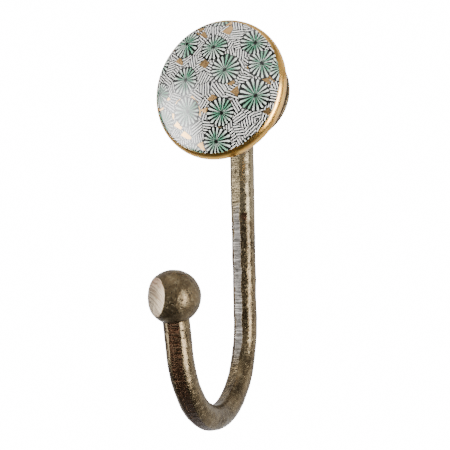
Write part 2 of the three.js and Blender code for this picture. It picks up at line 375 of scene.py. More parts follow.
# ---- Metal finishes ----
DARK_BRONZE = tint(0.070, 0.049, 0.027)
OLIVE_BRASS = tint(0.165, 0.118, 0.062)
RUBBED_BRASS = tint(0.44, 0.365, 0.225)
SPECKLE = tint(0.03, 0.022, 0.014)
BARE_IRON = tint(0.40, 0.37, 0.34)
FILE_SHADOW = tint(0.10, 0.09, 0.078)
RUST = tint(0.11, 0.045, 0.022)
RUST_STAIN = tint(0.085, 0.032, 0.018)
# the outer flat's dark brown: partly brown oxide, partly painted shade standing in for a dark
# reflection
OUTER_FLAT_BROWN_AND_SHADE = tint(0.055, 0.035, 0.02)
FACET_LIGHT = tint(0.60, 0.50, 0.36)
FACET_DARK = tint(0.26, 0.19, 0.12)
FACET_RUST = tint(0.42, 0.20, 0.11)
LIGHTER_ABOVE_LOW = -47 * MM  # the bar is lighter above this height
LIGHTER_ABOVE_HIGH = -41 * MM
STAIN_PLACE = (1.9 * MM, -BAR_AXIS_OUT - 4 * MM, -43.5 * MM)
FILE_STROKE_LENGTH = 1 / 60
FILE_STROKE_WIDTH = 0.4 * MM
GRIND_LINE_LENGTH = 1 / 120
GRIND_LINE_WIDTH = 1 / 3000


def patina(recipe, where, dullness=0.0):
    """Colour, roughness and bump of antiqued cast metal."""
    broad = recipe.cloud(where, 9 * MM, 5.0, 0.6)
    fine = recipe.cloud(where, 1.1 * MM, 5.0, 0.65)
    grain = recipe.cloud(where, 0.36 * MM, 3.0, 0.7)
    colour = recipe.blend(recipe.step(broad, 0.4, 0.75), OLIVE_BRASS, DARK_BRONZE)
    colour = recipe.blend(recipe.step(fine, 0.46, 0.74, 0.0, 0.55), colour, RUBBED_BRASS)
    colour = recipe.blend(recipe.step(grain, 0.50, 0.68, 0.0, 0.5), colour, SPECKLE)
    pits = recipe.add(
        "TexVoronoi", {"Vector": where, "Scale": 1 / (1.1 * MM), "Randomness": 1.0}
    )
    in_patch = recipe.step(recipe.cloud(where, 4 * MM, 2.0), 0.46, 0.56)
    pit = recipe.math(
        "MULTIPLY", recipe.step(pits.outputs["Distance"], 0.14, 0.30, 1.0, 0.0), in_patch
    )
    colour = recipe.blend(recipe.math("MULTIPLY", pit, 0.85), colour, SPECKLE)
    roughness = recipe.step(fine, 0.25, 0.75, 0.18 + dullness, 0.33 + dullness)
    normal = recipe.bump(broad, 0.25 * MM)
    normal = recipe.bump(fine, 0.055 * MM, normal)
    normal = recipe.bump(grain, 0.035 * MM, normal)
    normal = recipe.bump(recipe.math("MULTIPLY", pit, -1.0), 0.07 * MM, normal)
    return colour, roughness, normal


def antique_metal(name, dullness=0.05):
    recipe = Recipe(name)
    colour, roughness, normal = patina(recipe, recipe.place(), dullness)
    return recipe.finish(colour, Metallic=0.92, Roughness=roughness, Normal=normal)


def forged_bar_metal():
    """The bar's patina, and the bare file marks across its two flats. The outer flat's dark brown
    is partly brown oxide and partly painted shade.
    """
    recipe = Recipe("forged_bar_metal")
    where = recipe.place()
    colour, roughness, normal = patina(recipe, where)
    height = recipe.add("SeparateXYZ", {0: where}).outputs["Z"]
    # blends the upper shank towards lighter brass above a set height
    upper_lightening = recipe.step(height, LIGHTER_ABOVE_LOW, LIGHTER_ABOVE_HIGH, 0.0, 0.38)
    colour = recipe.blend(upper_lightening, colour, RUBBED_BRASS)
    away = recipe.vector("LENGTH", recipe.vector("SUBTRACT", where, STAIN_PLACE))
    edge = recipe.math("MULTIPLY_ADD", recipe.cloud(where, 1.6 * MM, 3.0), 3 * MM, away)
    stain = recipe.step(edge, 2.4 * MM, 3.4 * MM, 0.85, 0.0)
    colour = recipe.blend(stain, colour, RUST_STAIN)
    parts = recipe.add("SeparateXYZ", {0: recipe.uv()})
    wander = recipe.cloud(where, 2.2 * MM, 3.0)
    across = recipe.math("MULTIPLY", parts.outputs["X"], 1 / FILE_STROKE_LENGTH)
    along = recipe.math("MULTIPLY", parts.outputs["Y"], 1 / FILE_STROKE_WIDTH)
    along = recipe.math("MULTIPLY_ADD", wander, 0.55, along)
    file_strokes = recipe.streaks(across, along, roughness=0.6)
    stroke_dark = recipe.step(file_strokes, 0.36, 0.66)
    inner = recipe.step(recipe.attribute("inner_flat"), 0.0, 1.0)
    outer = recipe.step(recipe.attribute("outer_flat"), 0.0, 1.0)
    shine = recipe.attribute("bared")
    bare = recipe.blend(stroke_dark, BARE_IRON, FILE_SHADOW)
    # outer flat: painted shade (a dark reflection) over brown oxide, with rust in the file marks
    brown_and_shade = recipe.blend(stroke_dark, OUTER_FLAT_BROWN_AND_SHADE, RUST)
    colour = recipe.blend(recipe.math("MULTIPLY", outer, 0.85), colour, brown_and_shade)
    colour = recipe.blend(recipe.math("MULTIPLY", inner, shine), colour, bare)
    filed = recipe.math("MAXIMUM", inner, outer)
    marks = recipe.math("MULTIPLY", stroke_dark, recipe.math("MULTIPLY", filed, -1.0))
    normal = recipe.bump(marks, 0.13 * MM, normal)
    roughness = recipe.math("MULTIPLY_ADD", recipe.math("MULTIPLY", inner, shine), 0.1, roughness)
    return recipe.finish(colour, Metallic=0.92, Roughness=roughness, Normal=normal)


def ground_facet_metal():
    """Bare metal with curved grinding marks, on the front of the ball."""
    recipe = Recipe("ground_facet_metal")
    where = recipe.place()
    bend = recipe.cloud(where, 5 * MM, 2.0)
    sideways = Vector((math.cos(BALL_FACET_TURN), -math.sin(BALL_FACET_TURN), 0))
    wheel = BALL_CENTRE - sideways * 9 * MM - Vector((0, 0, 11 * MM))
    parts = recipe.add("SeparateXYZ", {0: recipe.vector("SUBTRACT", where, tuple(wheel))})
    across = recipe.math("MULTIPLY", parts.outputs["X"], 1 / sideways.x)
    on_facet = recipe.add("CombineXYZ", {"X": across, "Y": parts.outputs["Z"]}).outputs[0]
    sweep = recipe.math("MULTIPLY_ADD", bend, 3 * MM, recipe.vector("LENGTH", on_facet))
    lines = recipe.streaks(
        recipe.math("MULTIPLY", parts.outputs["X"], 1 / GRIND_LINE_LENGTH),
        recipe.math("MULTIPLY", sweep, 1 / GRIND_LINE_WIDTH),
    )
    dark = recipe.step(lines, 0.38, 0.62)
    colour = recipe.blend(dark, FACET_LIGHT, FACET_DARK)
    height = recipe.add("SeparateXYZ", {0: where}).outputs["Z"]
    rusty = recipe.step(height, BALL_CENTRE.z + 1 * MM, BALL_CENTRE.z + 6 * MM, 0.1, 0.9)
    colour = recipe.blend(recipe.math("MULTIPLY", rusty, bend), colour, FACET_RUST)
    normal = recipe.bump(recipe.math("MULTIPLY", dark, -1.0), 0.04 * MM)
    return recipe.finish(colour, Metallic=0.9, Roughness=0.38, Normal=normal)


def turned_metal(name, light, dark, roughness, line_size=0.12 * MM):
    """Metal from a lathe, with fine lines round it."""
    recipe = Recipe(name)
    where = recipe.place()
    parts = recipe.add("SeparateXYZ", {0: where})
    across = recipe.add("CombineXYZ", {"X": parts.outputs["X"], "Y": parts.outputs["Z"]})
    radius = recipe.vector("LENGTH", across.outputs[0])
    lines = recipe.streaks(radius, parts.outputs["Y"], 1 / line_size, 2.0)
    stain = recipe.cloud(where, 3 * MM, 4.0)
    colour = recipe.blend(recipe.step(stain, 0.4, 0.7), light, dark)
    normal = recipe.bump(lines, 0.02 * MM)
    rough = recipe.step(stain, 0.3, 0.7, roughness * 0.8, roughness * 1.25)
    return recipe.finish(colour, Metallic=1.0, Roughness=rough, Normal=normal)


# ---- Ceramic ----
# The print is laid out in millimetres on the disc's front.
ROSETTE_SPACING = 12.0
ROSETTE_RADIUS = 4.7
PETALS = 18
PETAL_SHARE = 0.48  # of the room that each petal has
PATCH_SIZE = 3.9
STROKE_SPACING = 0.9
GOLD_SHARE = 0.3
WEDGE_REACH = 1.7
WEDGE_SLOPE = 1.5
PRINT_BLACK = tint(0.008, 0.009, 0.008)
PRINT_WHITE = tint(0.93, 0.91, 0.86)
PETAL_TIP = tint(0.90, 0.95, 0.86)
PETAL_ROOT = tint(0.08, 0.32, 0.18)
BRIGHT_GREEN = tint(0.06, 0.31, 0.16)
GOLD = tint(0.80, 0.48, 0.20)
GILT_LIGHT = tint(1.0, 0.60, 0.16)
GILT_DEEP = tint(0.95, 0.48, 0.11)
BACK_WHITE = tint(0.78, 0.76, 0.70)
GILT_FRONT_OUT = DISC_WIDEST_OUT + RIM_FRONT_RADIUS * math.sin(math.radians(51)) + 0.17 * MM
GILT_BACK_OUT = DISC_WIDEST_OUT - 0.7 * RIM_BACK_RADIUS
BRUSH_EDGE = 0.03 * MM
GLAZE_IOR = 1.85


def rosettes(recipe, where):
    """Round flowers of tapered petals: their colour, and where they cover the ground."""
    cells = recipe.add(
        "TexVoronoi",
        {"Vector": where, "Scale": 1 / ROSETTE_SPACING, "Randomness": 0.5},
        voronoi_dimensions="2D",
    )
    chance = recipe.add("SeparateColor", {0: cells.outputs["Color"]})
    local = recipe.vector("SUBTRACT", where, cells.outputs["Position"])
    parts = recipe.add("SeparateXYZ", {0: local})
    reach = recipe.vector("LENGTH", local)
    angle = recipe.math("ARCTAN2", parts.outputs["Y"], parts.outputs["X"])
    turns = recipe.math("MULTIPLY_ADD", angle, 1 / math.tau, chance.outputs[0])
    count = recipe.math("MULTIPLY", turns, float(PETALS))
    across = recipe.math(
        "ABSOLUTE", recipe.math("SUBTRACT", recipe.math("FRACT", count), 0.5)
    )
    number = recipe.math("FLOOR", count)
    each = recipe.add("TexWhiteNoise", {"W": number}, noise_dimensions="1D").outputs["Value"]
    size = recipe.math("MULTIPLY_ADD", chance.outputs[1], 0.8, ROSETTE_RADIUS - 0.5)
    size = recipe.math("MULTIPLY_ADD", each, 0.5, size)
    leaning = recipe.math("COSINE", recipe.math("MULTIPLY", turns, math.tau))
    size = recipe.math("MULTIPLY_ADD", leaning, 0.55, size)
    aside = recipe.math("MULTIPLY", recipe.math("MULTIPLY", across, math.tau / PETALS), reach)
    half = recipe.math("MULTIPLY", reach, PETAL_SHARE * math.pi / PETALS)
    half_end = recipe.math("MULTIPLY", size, PETAL_SHARE * math.pi / PETALS)
    past = recipe.math(
        "MAXIMUM", recipe.math("SUBTRACT", reach, recipe.math("SUBTRACT", size, half_end)), 0.0
    )
    aside_squared = recipe.math("MULTIPLY", aside, aside)
    edge = recipe.math("SQRT", recipe.math("MULTIPLY_ADD", past, past, aside_squared))
    inside = recipe.math("SUBTRACT", recipe.math("MINIMUM", half, half_end), edge)
    petal = recipe.step(inside, -0.02, 0.07)
    petal = recipe.math("MULTIPLY", petal, recipe.step(reach, 0.5, 0.9))
    share = recipe.math("DIVIDE", reach, size)
    green = recipe.step(share, 0.45, 0.98, 1.0, 0.12)
    green = recipe.math("MULTIPLY", green, recipe.step(each, 0.0, 1.0, 0.35, 1.0))
    colour = recipe.blend(green, PETAL_TIP, PETAL_ROOT)
    sector = recipe.math("FRACT", recipe.math("ADD", turns, chance.outputs[2]))
    bright = recipe.math(
        "MULTIPLY", recipe.step(sector, 0.12, 0.14, 1.0, 0.0), recipe.step(share, 0.25, 0.4)
    )
    colour = recipe.blend(recipe.math("MULTIPLY", bright, 0.8), colour, BRIGHT_GREEN)
    colour = recipe.blend(petal, PRINT_BLACK, colour)
    cover = recipe.step(recipe.math("SUBTRACT", reach, size), 0.22, 0.34, 1.0, 0.0)
    return colour, cover


def strokes(recipe, where):
    """Patches of parallel strokes at random angles, and a few gold patches."""
    sockets = {"Vector": where, "Scale": 1 / PATCH_SIZE, "Randomness": 1.0}
    cells = recipe.add("TexVoronoi", sockets, voronoi_dimensions="2D")
    borders = recipe.add(
        "TexVoronoi", sockets, voronoi_dimensions="2D", feature="DISTANCE_TO_EDGE"
    )
    chance = recipe.add("SeparateColor", {0: cells.outputs["Color"]})
    angle = recipe.math("MULTIPLY", chance.outputs[0], math.tau)
    parts = recipe.add("SeparateXYZ", {0: where})
    slant = recipe.math(
        "ADD",
        recipe.math("MULTIPLY", parts.outputs["X"], recipe.math("COSINE", angle)),
        recipe.math("MULTIPLY", parts.outputs["Y"], recipe.math("SINE", angle)),
    )
    wobble = recipe.add(
        "TexNoise", {"Vector": where, "Scale": 0.6, "Detail": 1.0}, noise_dimensions="2D"
    ).outputs["Fac"]
    slant = recipe.math("MULTIPLY_ADD", wobble, 0.2, slant)
    lane = recipe.math("FRACT", recipe.math("DIVIDE", slant, STROKE_SPACING))
    middle = recipe.math("ABSOLUTE", recipe.math("SUBTRACT", lane, 0.5))
    white = recipe.step(middle, 0.18, 0.28, 1.0, 0.0)
    white = recipe.math(
        "MULTIPLY", white, recipe.step(borders.outputs["Distance"], 0.012, 0.035)
    )
    local = recipe.add(
        "SeparateXYZ", {0: recipe.vector("SUBTRACT", where, cells.outputs["Position"])}
    )
    wedge = recipe.math(
        "SUBTRACT",
        recipe.math("ADD", local.outputs["X"], WEDGE_REACH),
        recipe.math("MULTIPLY", recipe.math("ABSOLUTE", local.outputs["Y"]), WEDGE_SLOPE),
    )
    gold = recipe.math("GREATER_THAN", chance.outputs[1], 1 - GOLD_SHARE)
    gold = recipe.math("MULTIPLY", gold, recipe.step(borders.outputs["Distance"], 0.02, 0.035))
    gold = recipe.math("MULTIPLY", gold, recipe.step(wedge, -0.05, 0.05))
    colour = recipe.blend(white, PRINT_BLACK, PRINT_WHITE)
    return recipe.blend(gold, colour, GOLD), gold


def printed_glaze():
    """The disc's whole surface: glazed print, gilt rim and white back."""
    recipe = Recipe("printed_glaze")
    where = recipe.vector("SCALE", recipe.uv())
    where.node.inputs["Scale"].default_value = 1 / MM
    flower, cover = rosettes(recipe, where)
    ground, gold = strokes(recipe, where)
    colour = recipe.blend(cover, ground, flower)
    gold = recipe.math("MULTIPLY", gold, recipe.math("SUBTRACT", 1.0, cover))
    place = recipe.place()
    out = recipe.math("MULTIPLY", recipe.add("SeparateXYZ", {0: place}).outputs["Y"], -1.0)
    brush = recipe.math("MULTIPLY_ADD", recipe.cloud(place, 3 * MM, 2.0), 0.35 * MM, out)
    rim, back = (
        recipe.step(brush, border - BRUSH_EDGE, border + BRUSH_EDGE, 1.0, 0.0)
        for border in (GILT_FRONT_OUT, GILT_BACK_OUT)
    )
    unevenness = recipe.cloud(place, 1.5 * MM, 4.0)
    gilt = recipe.blend(recipe.step(unevenness, 0.35, 0.7), GILT_LIGHT, GILT_DEEP)
    colour = recipe.blend(rim, colour, gilt)
    colour = recipe.blend(back, colour, BACK_WHITE)
    metal = recipe.math("MAXIMUM", recipe.math("MULTIPLY", gold, 0.92), rim)
    metal = recipe.math("MULTIPLY", metal, recipe.math("SUBTRACT", 1.0, back))
    roughness = recipe.math("MULTIPLY_ADD", metal, 0.20, 0.05)
    normal = recipe.bump(recipe.cloud(place, 6 * MM, 1.0), 0.12 * MM)
    normal = recipe.bump(recipe.math("MULTIPLY", rim, unevenness), 0.02 * MM, normal)
    return recipe.finish(
        colour, Metallic=metal, Roughness=roughness, Normal=normal, IOR=GLAZE_IOR
    )


# ---- Other finishes ----
RUBBER_BLACK = tint(0.018, 0.017, 0.016)
RUBBER_DUST = tint(0.06, 0.057, 0.052)
CEMENT_DARK = tint(0.42, 0.39, 0.33)
CEMENT_LIGHT = tint(0.62, 0.59, 0.52)


def rubber():
    recipe = Recipe("black_rubber")
    where = recipe.place()
    dust = recipe.cloud(where, 1.2 * MM, 5.0)
    colour = recipe.blend(recipe.step(dust, 0.45, 0.75), RUBBER_BLACK, RUBBER_DUST)
    normal = recipe.bump(recipe.cloud(where, 0.2 * MM, 3.0), 0.015 * MM)
    return recipe.finish(colour, Roughness=0.78, Normal=normal)


def cement():
    recipe = Recipe("pale_cement")
    where = recipe.place()
    lumps = recipe.cloud(where, 0.7 * MM, 6.0, 0.7)
    colour = recipe.blend(lumps, CEMENT_DARK, CEMENT_LIGHT)
    return recipe.finish(colour, Roughness=0.95, Normal=recipe.bump(lumps, 0.15 * MM))


# ---- The forged bar ----
BAR_SIDES = 36
BAR_RINGS = 120
SHANK_LENGTH = BAR_TOP + SHANK_DROP
BEND_LENGTH = BEND_END * (BEND_REACH + BEND_DEPTH) / 2
STEM_INTO_BALL = 1.2 * MM
BAR_LENGTH = SHANK_LENGTH + BEND_LENGTH + STEM_LENGTH + STEM_INTO_BALL
FLAT_START = 18 * MM  # along the bar from its top, as for the next two
BARED_START = 46 * MM
BARED_END = SHANK_LENGTH + 0.22 * BEND_LENGTH
FULL_MARK = 0.04 * MM  # a file that cuts this deep leaves its full mark
RIPPLE_LENGTH = 0.9 * MM  # the file's chatter
RIPPLE_DEPTH = 0.07 * MM
SWAY_LENGTH = 9 * MM
SWAY_DEPTH = 0.05 * MM
RAGGED_LENGTH = 3 * MM  # the uneven edge where the bare metal starts
RAGGED_REACH = 2 * MM


def bar_place(along):
    """The bar's centre and its angle round the J: 0 going down, half a turn going up."""
    if along <= SHANK_LENGTH:
        return Vector((0, -BAR_AXIS_OUT, BAR_TOP - along)), 0.0
    turn = min((along - SHANK_LENGTH) / BEND_LENGTH, 1) * BEND_END
    past = max(along - SHANK_LENGTH - BEND_LENGTH, 0)
    heading = math.atan2(BEND_REACH * math.sin(turn), BEND_DEPTH * math.cos(turn))
    centre = Vector(
        (
            0,
            -BAR_AXIS_OUT - BEND_REACH * (1 - math.cos(turn)),
            -SHANK_DROP - BEND_DEPTH * math.sin(turn),
        )
    )
    return centre + past * Vector((0, -math.sin(heading), -math.cos(heading))), heading


def bar_radius(along):
    """The bar narrows evenly from the plate's lower edge to its tip."""
    start = BAR_TOP + PLATE_RADIUS - PLATE_RISE
    share = max(along - start, 0) / (BAR_LENGTH - start)
    return BAR_RADIUS + (BAR_TIP_RADIUS - BAR_RADIUS) * share


def draw_bar():
    """A circle drawn down the shank, round the bend and up the stem, ring by ring."""
    let_go()
    bpy.ops.mesh.primitive_circle_add(
        vertices=BAR_SIDES,
        radius=BAR_RADIUS,
        fill_type="NGON",
        location=bar_place(0)[0],
        calc_uvs=False,
    )
    bar = settle(bpy.context.object, "forged_bar")
    edit_all(bar)
    centre, heading = bar_place(0)
    radius = BAR_RADIUS
    for ring in range(1, BAR_RINGS + 1):
        along = BAR_LENGTH * ring / BAR_RINGS
        next_centre, next_heading = bar_place(along)
        bpy.ops.mesh.extrude_region_move(
            TRANSFORM_OT_translate={"value": next_centre - centre}
        )
        if next_heading != heading:
            bpy.ops.transform.rotate(
                value=next_heading - heading, orient_axis="X", center_override=next_centre
            )
        if bar_radius(along) != radius:
            scale = bar_radius(along) / radius
            bpy.ops.transform.resize(value=(scale, scale, scale), center_override=next_centre)
        centre, heading, radius = next_centre, next_heading, bar_radius(along)
    outward(bar)
    return bar


def roughen(piece, name, size, depth, middle=0.5):
    """Pushes the surface in and out, in dents about a size across."""
    texture = bpy.data.textures.new(name, "CLOUDS")
    texture.noise_scale = size
    texture.noise_depth = 2
    return work(piece, "DISPLACE", texture=texture, strength=depth, mid_level=middle)


def ramp(value, start, length):
    """0 up to the start, then evenly to 1 over a length."""
    return min(max((value - start) / length, 0), 1)


def press_flat(vertex, centre, facing, limit):
    """Pushes a point back to a flat if it stands past it. Gives how far past it stood."""
    over = (vertex.co - centre).dot(facing) - limit
    if over > 0:
        vertex.co -= over * facing
    return over


def grind_bar(bar):
    """Flattens the inside and the outside of the J, and marks where the file went."""
    steps = 1500
    tree = kdtree.KDTree(steps + 1)
    for i in range(steps + 1):
        tree.insert(bar_place(BAR_LENGTH * i / steps)[0], i)
    tree.balance()
    mesh = bar.data
    marks = {
        name: mesh.attributes.new(name, "FLOAT", "POINT")
        for name in ("inner_flat", "outer_flat", "bared")
    }
    around_along = []
    for vertex in mesh.vertices:
        _, i, _ = tree.find(vertex.co)
        along = BAR_LENGTH * i / steps
        centre, heading = bar_place(along)
        inwards = Vector((0, -math.cos(heading), math.sin(heading)))
        radius = bar_radius(along)
        ripple = noise.noise(Vector((0.3, 0, along / RIPPLE_LENGTH))) * RIPPLE_DEPTH
        sway = noise.noise(Vector((4.7, 0, along / SWAY_LENGTH))) * SWAY_DEPTH
        bar_axis = (0, -inwards.z, inwards.y)
        turned = Matrix.Rotation(INNER_FLAT_TURN, 3, bar_axis) @ inwards
        deepening = ramp(along, FLAT_START, 8 * MM)
        limit = radius - INNER_FLAT_DEPTH * (0.4 + 0.6 * deepening) + ripple + sway
        over = press_flat(vertex, centre, turned, limit)
        marks["inner_flat"].data[vertex.index].value = over / FULL_MARK
        lowest = max(1 - abs(heading / math.pi - 0.45) / 0.25, 0)
        limit = radius - BACK_FLAT_DEPTH * radius / BAR_RADIUS * (1 - 0.7 * lowest)
        if along > SHANK_LENGTH:
            limit += ripple
        bent = ramp(along, SHANK_LENGTH, 0.4 * BEND_LENGTH)
        outwards = Matrix.Rotation(OUTER_FLAT_TURN * bent, 3, bar_axis) @ -inwards
        over = press_flat(vertex, centre, outwards, limit)
        marks["outer_flat"].data[vertex.index].value = over / FULL_MARK
        ragged = noise.noise(vertex.co / RAGGED_LENGTH) * RAGGED_REACH
        bared = ramp(along, BARED_START + ragged, 6 * MM)
        fading = ramp(-along, -BARED_END, 10 * MM)
        marks["bared"].data[vertex.index].value = bared * fading
        if -vertex.co.y > SEAT_OUT and abs(vertex.co.z) < SEAT_HALF_HEIGHT:
            vertex.co.y = -SEAT_OUT
        offset = vertex.co - centre
        around_along.append((math.atan2(offset.x, offset.dot(inwards)) * radius, along))
    layer = mesh.uv_layers.new(name="around_and_along")
    for loop in mesh.loops:
        layer.data[loop.index].uv = around_along[loop.vertex_index]


def forged_bar():
    bar = draw_bar()
    soften(bar, 0.5 * MM, 3, 60)
    work(bar, "SUBSURF", levels=2, render_levels=2)
    roughen(bar, "forging", size=7 * MM, depth=0.42 * MM)
    roughen(bar, "dents", size=2.2 * MM, depth=0.06 * MM)
    grind_bar(bar)
    smooth(bar, 50)
    return finish_piece(bar, "hook_bar", "hook", "antique_metal", forged_bar_metal())


# ---- The ball ----
def ball_end():
    """A ball with its front ground off: where it is inside a much larger, flatter ball."""
    ball = ball_of_facets("ball", BALL_RADIUS, BALL_CENTRE)
    roughen(ball, "ball_forging", size=6 * MM, depth=0.4 * MM, middle=0.55)
    roughen(ball, "ball_pitting", size=1.2 * MM, depth=0.07 * MM)
    facing = Vector((-math.sin(BALL_FACET_TURN), -math.cos(BALL_FACET_TURN), 0))
    edge_height = BALL_RADIUS - BALL_FACET_DEPTH - 0.5 * BALL_FACET_CROWN
    edge_radius = math.sqrt(BALL_RADIUS**2 - edge_height**2)
    dome_radius = (edge_radius**2 + BALL_FACET_CROWN**2) / (2 * BALL_FACET_CROWN)
    dome_centre = BALL_CENTRE + facing * (edge_height + BALL_FACET_CROWN - dome_radius)
    cut_away(ball, ball_of_facets("facet_dome", dome_radius, dome_centre), "INTERSECT")
    metal = antique_metal("ball_metal", 0.10)
    finish_piece(ball, "ball_end", "hook", "antique_metal", metal, ground_facet_metal())
    on_dome = 0.02 * MM
    for face in ball.data.polygons:
        if abs((face.center - dome_centre).length - dome_radius) < on_dome:
            face.material_index = 1
    smooth(ball, 20)
    return ball


# ---- Plate, stud, nut and lock washer ----
EDGE_BREAK = 0.2 * MM
TIP_CHAMFER = 0.5 * MM
SPLIT_WIDTH = 0.8 * MM


def wall_plate():
    """A round plate with three countersunk screw holes and one for the stud's head."""
    edge = 0.5 * MM
    pilot = 1 * MM
    profile = [(pilot, 0), (PLATE_RADIUS - EDGE_BREAK, 0), (PLATE_RADIUS, EDGE_BREAK)]
    profile += arc(PLATE_RADIUS - edge, PLATE_THICKNESS - edge, edge, 0, 90, 6)
    profile += [(pilot, PLATE_THICKNESS)]
    plate = turn_on_lathe("wall_plate", profile, 160, rise=PLATE_RISE)
    past = 1 * MM
    sink = SCREW_HEAD_RADIUS - SCREW_HOLE_RADIUS
    hole = [
        (SCREW_HOLE_RADIUS, -past),
        (SCREW_HOLE_RADIUS, PLATE_THICKNESS - sink),
        (SCREW_HEAD_RADIUS + past, PLATE_THICKNESS + past),
    ]
    places = (
        (-SIDE_SCREW_OFFSET, PLATE_RISE),
        (SIDE_SCREW_OFFSET, PLATE_RISE),
        (0, PLATE_RISE + TOP_SCREW_OFFSET),
    )
    for x, z in places:
        cutter = turn_on_lathe("hole", hole, 48)
        cutter.location = (x, 0, z)
        cut_away(plate, settle(cutter, "hole"))
    head = [
        (STUD_HEAD_RADIUS + LOOSE_PLAY + past, -past),
        (STUD_RADIUS + LOOSE_PLAY, STUD_HEAD_DEPTH),
        (STUD_RADIUS + LOOSE_PLAY, PLATE_THICKNESS + past),
    ]
    cut_away(plate, turn_on_lathe("head_hole", head, 48))
    soften(plate, 0.08 * MM)
    smooth(plate)
    metal = antique_metal("plate_metal")
    return finish_piece(plate, "back_plate", "hook", "plate_metal", metal)


def tooth_line():
    """One thread's outline, from root to root, as a line of edges."""
    root = STUD_RADIUS - THREAD_DEPTH
    heights = [(0, root), (0.31, STUD_RADIUS), (0.44, STUD_RADIUS), (0.75, root), (1, root)]
    points = [(radius, -PLATE_THICKNESS - share * THREAD_PITCH, 0) for share, radius in heights]
    mesh = bpy.data.meshes.new("tooth")
    mesh.from_pydata(points, [(i, i + 1) for i in range(len(points) - 1)], [])
    line = bpy.data.objects.new("tooth", mesh)
    bpy.context.scene.collection.objects.link(line)
    return line


def cut_square(piece, out, side):
    """Cuts a piece square across, this far from the wall, clears one side and closes it."""
    edit_all(piece)
    bpy.ops.mesh.bisect(
        plane_co=(0, -out, 0),
        plane_no=(0, -1, 0),
        threshold=1e-7,
        use_fill=True,
        clear_outer=side == "front",
        clear_inner=side == "back",
    )
    let_go()


def threaded_stud():
    """A peened head in the plate, joined to a thread that runs to a chamfered tip."""
    turns = math.ceil((STUD_TIP_OUT - PLATE_THICKNESS) / THREAD_PITCH) + 1
    thread = work(
        tooth_line(),
        "SCREW",
        axis="Y",
        steps=36,
        render_steps=36,
        screw_offset=-THREAD_PITCH,
        iterations=turns,
        use_merge_vertices=True,
        merge_threshold=1e-6,
    )
    edit_all(thread)
    bpy.ops.mesh.remove_doubles(threshold=1e-6)
    cut_square(thread, STUD_TIP_OUT, "front")
    cut_square(thread, THREAD_START_OUT, "back")
    outward(thread)
    past = 0.4 * MM
    clear = 2 * MM
    tip = [
        (STUD_RADIUS + clear, STUD_TIP_OUT - 3 * MM),
        (STUD_RADIUS + past, STUD_TIP_OUT - TIP_CHAMFER),
        (STUD_RADIUS - TIP_CHAMFER, STUD_TIP_OUT + past),
        (STUD_RADIUS + clear, STUD_TIP_OUT + past),
    ]
    cut_away(thread, turn_on_lathe("tip_chamfer", tip, 48, ring=True))
    head = [
        (STUD_HEAD_RADIUS - EDGE_BREAK, 0),
        (STUD_HEAD_RADIUS, EDGE_BREAK),
        (STUD_RADIUS, STUD_HEAD_DEPTH),
        (STUD_RADIUS, THREAD_START_OUT + 0.25 * THREAD_PITCH),
    ]
    head_piece = turn_on_lathe("stud_head", head, 48)
    hold(thread)
    head_piece.select_set(True)
    bpy.ops.object.join()
    stud = settle(thread, "stud")
    smooth(stud, 25)
    steel = turned_metal("stud_steel", tint(0.62, 0.61, 0.58), tint(0.42, 0.41, 0.38), 0.32)
    return finish_piece(stud, "threaded_stud", "hook", "zinc_steel", steel)


def lock_nut():
    """Six flats, rounded off at both ends. Its corners point the way that the box is longest."""
    back, front = outs("lock_nut")
    low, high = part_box("lock_nut")
    corner = max(radius_of("lock_nut"), (high.z - low.z) / 2)
    let_go()
    bpy.ops.mesh.primitive_cylinder_add(
        vertices=6,
        radius=corner,
        depth=front - back,
        location=(0, -(back + front) / 2, 0),
        rotation=(math.pi / 2, 0 if high.z > high.x else math.pi / 6, 0),
        calc_uvs=False,
    )
    nut = settle(bpy.context.object, "hex_nut")
    flat = corner * math.cos(math.pi / 6)
    chamfer = (corner - flat) * math.tan(math.radians(30))
    inside_flat = flat - 0.1 * MM
    past_corner = corner + 0.05 * MM
    hair = 0.01 * MM
    rounding = [
        (inside_flat, back - hair),
        (past_corner, back + chamfer),
        (past_corner, front - chamfer),
        (inside_flat, front + hair),
    ]
    cut_away(nut, turn_on_lathe("nut_rounding", rounding, 96), "INTERSECT")
    lead = 0.35 * MM
    bore = STUD_RADIUS + NUT_PLAY
    bore_profile = [
        (bore + lead, back - lead),
        (bore, back + lead),
        (bore, front - lead),
        (bore + lead, front + lead),
    ]
    cut_away(nut, turn_on_lathe("nut_bore", bore_profile, 64))
    soften(nut, 0.06 * MM)
    smooth(nut, 30)
    steel = turned_metal("nut_steel", tint(0.58, 0.57, 0.54), tint(0.36, 0.35, 0.32), 0.34)
    return finish_piece(nut, "lock_nut", "hook", "zinc_steel", steel)


def lock_washer():
    """A square section spun most of the way round, leaving the split at the top."""
    back, front = outs("lock_washer")
    outer = radius_of("lock_washer")
    inner = STUD_RADIUS + WASHER_PLAY
    split = 2 * math.asin(SPLIT_WIDTH / 2 / outer)
    middle = (inner + outer) / 2
    let_go()
    bpy.ops.mesh.primitive_plane_add(
        size=1, location=(0, -(back + front) / 2, middle), rotation=(0, math.pi / 2, 0)
    )
    washer = bpy.context.object
    washer.scale = (outer - inner, front - back, 1)
    washer = settle(washer, "spring_washer")
    edit_all(washer)
    bpy.ops.transform.rotate(value=split / 2, orient_axis="Y", center_override=(0, 0, 0))
    bpy.ops.mesh.spin(
        steps=60, angle=math.tau - split, center=(0, 0, 0), axis=(0, -1, 0)
    )
    let_go()
    outward(washer)
    soften(washer, 0.08 * MM, 2, 40)
    smooth(washer)
    steel = turned_metal("washer_steel", tint(0.5, 0.49, 0.46), tint(0.3, 0.29, 0.27), 0.36)
    return finish_piece(washer, "lock_washer", "hook", "zinc_steel", steel)


